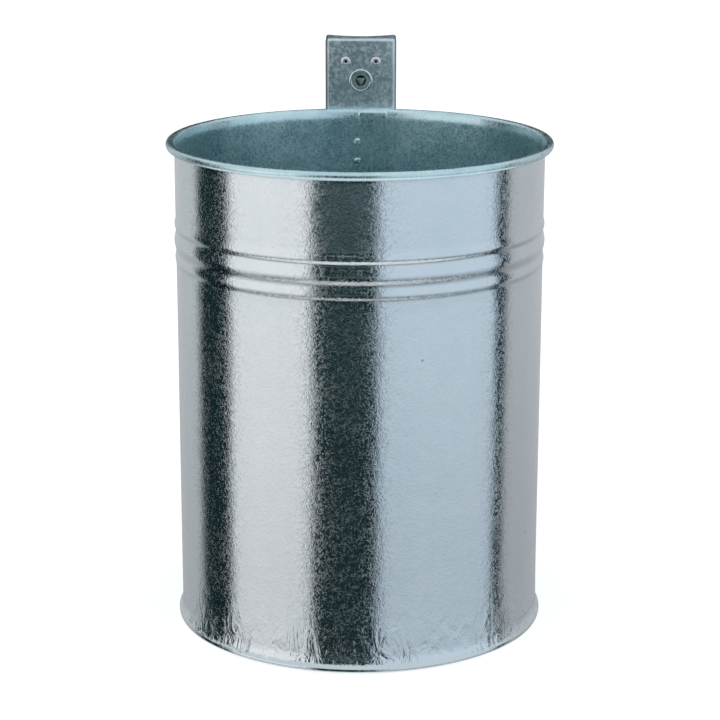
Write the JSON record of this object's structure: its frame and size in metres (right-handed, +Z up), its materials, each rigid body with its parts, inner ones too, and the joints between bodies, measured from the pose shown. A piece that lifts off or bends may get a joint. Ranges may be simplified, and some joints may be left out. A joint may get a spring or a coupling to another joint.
{
  "type": "hanging waste bin",
  "caption": "Open galvanized steel waste bin that hooks over a wall rail by a folded hood bracket and is locked there by a three-sided key lock.",
  "frame": {"origin": "centre of the underside of the bin's floor, on the bin's axis", "axes": "+Z up along the bin's axis, the hood bracket and the wall towards +Y, the bin's front towards -Y, +X to the right seen from the front"},
  "size_m": [0.3348, 0.3709, 0.4935],
  "materials": {
    "shell_zinc": "hot-dip galvanized, semi-gloss, faintly mottled",
    "hood_zinc": "hot-dip galvanized, satin, blue-grey",
    "dark_zinc": "dull zinc, dark",
    "bright_zinc": "bright zinc plate"
  },
  "bodies": {
    "wall_holder": {"wall_rail": "hood_zinc"},
    "bin": {"bin_body": "shell_zinc", "rim_wire": "bright_zinc", "floor_pan": "shell_zinc", "mounting_hood": "hood_zinc", "hood_weld_right": "dark_zinc", "hood_weld_left": "dark_zinc", "hood_weld_upper": "dark_zinc", "hood_weld_lower": "dark_zinc", "hook_plate": "hood_zinc", "rivet_left": "bright_zinc", "mandrel_left": "dark_zinc", "rivet_right": "bright_zinc", "mandrel_right": "dark_zinc", "lock_barrel": "bright_zinc", "lock_washer": "dark_zinc", "lock_nut": "dark_zinc"},
    "lock_core": {"key_spindle": "dark_zinc", "lock_cam": "bright_zinc", "cam_washer": "bright_zinc", "cam_screw": "bright_zinc"}
  },
  "joints": [
    {"name": "lift_off", "type": "slide", "parent": "wall_holder", "child": "bin", "axis": [0, 0, 1], "range_m": [0, 0.04]},
    {"name": "lock_turn", "type": "hinge", "parent": "bin", "child": "lock_core", "pos_m": [0, 0.17, 0.4544], "axis": [0, 1, 0], "range_deg": [0, 90]}
  ]
}
